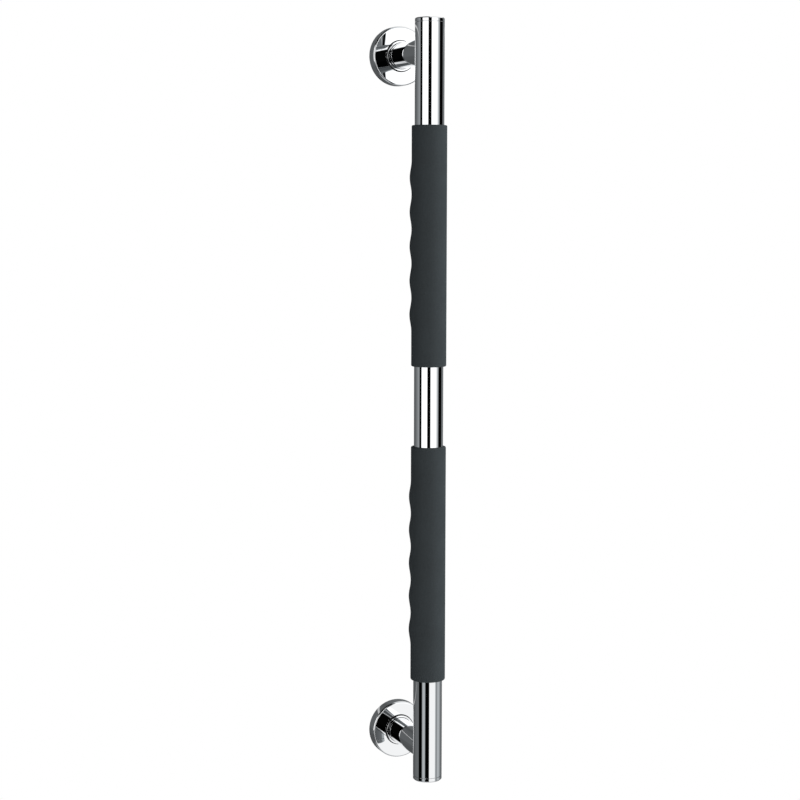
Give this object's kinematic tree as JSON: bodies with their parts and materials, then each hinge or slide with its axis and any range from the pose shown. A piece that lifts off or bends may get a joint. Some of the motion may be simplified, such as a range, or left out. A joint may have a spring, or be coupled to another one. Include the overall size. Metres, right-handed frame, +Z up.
{
  "type": "wall-mounted pull-up rail",
  "caption": "Straight chrome wall rail with soft finger grips, carried on two posts with round cover rosettes that slide forward to uncover the fixings.",
  "frame": {"origin": "centre of the lower wall bracket's back face, on the wall plane", "axes": "+Z up along the bar, +Y into the wall, +X to the right when the rail is looked at from the room"},
  "size_m": [0.051, 0.089, 0.654],
  "materials": {
    "chrome_plate": "bright mirror chrome plating on brass",
    "soft_grip": "matt anthracite soft-touch rubber with a fine grain",
    "seal_rubber": "matt black sealing rubber",
    "screw_steel": "plain stainless steel with turning marks",
    "turned_brass": "bare turned brass",
    "cast_bracket": "dull steel with a fine machined surface"
  },
  "bodies": {
    "rail": {"bar_tube": "chrome_plate", "lower_end_cap": "chrome_plate", "upper_end_cap": "chrome_plate", "lower_cap_o_ring": "seal_rubber", "upper_cap_o_ring": "seal_rubber", "lower_grip": "soft_grip", "upper_grip": "soft_grip", "lower_post": "chrome_plate", "upper_post": "chrome_plate", "lower_post_bolt": "screw_steel", "upper_post_bolt": "screw_steel", "lower_lock_washer": "screw_steel", "upper_lock_washer": "screw_steel", "lower_tube_insert": "turned_brass", "upper_tube_insert": "turned_brass", "lower_wall_bracket": "cast_bracket", "upper_wall_bracket": "cast_bracket", "lower_grub_screw": "screw_steel", "upper_grub_screw": "screw_steel"},
    "lower_cover": {"lower_rosette": "chrome_plate", "lower_rosette_o_ring": "seal_rubber"},
    "upper_cover": {"upper_rosette": "chrome_plate", "upper_rosette_o_ring": "seal_rubber"}
  },
  "joints": [
    {"name": "lower_rosette_slide", "type": "slide", "parent": "rail", "child": "lower_cover", "axis": [0, -1, 0], "range_m": [0, 0.048]},
    {"name": "upper_rosette_slide", "type": "slide", "parent": "rail", "child": "upper_cover", "axis": [0, -1, 0], "range_m": [0, 0.048]}
  ]
}
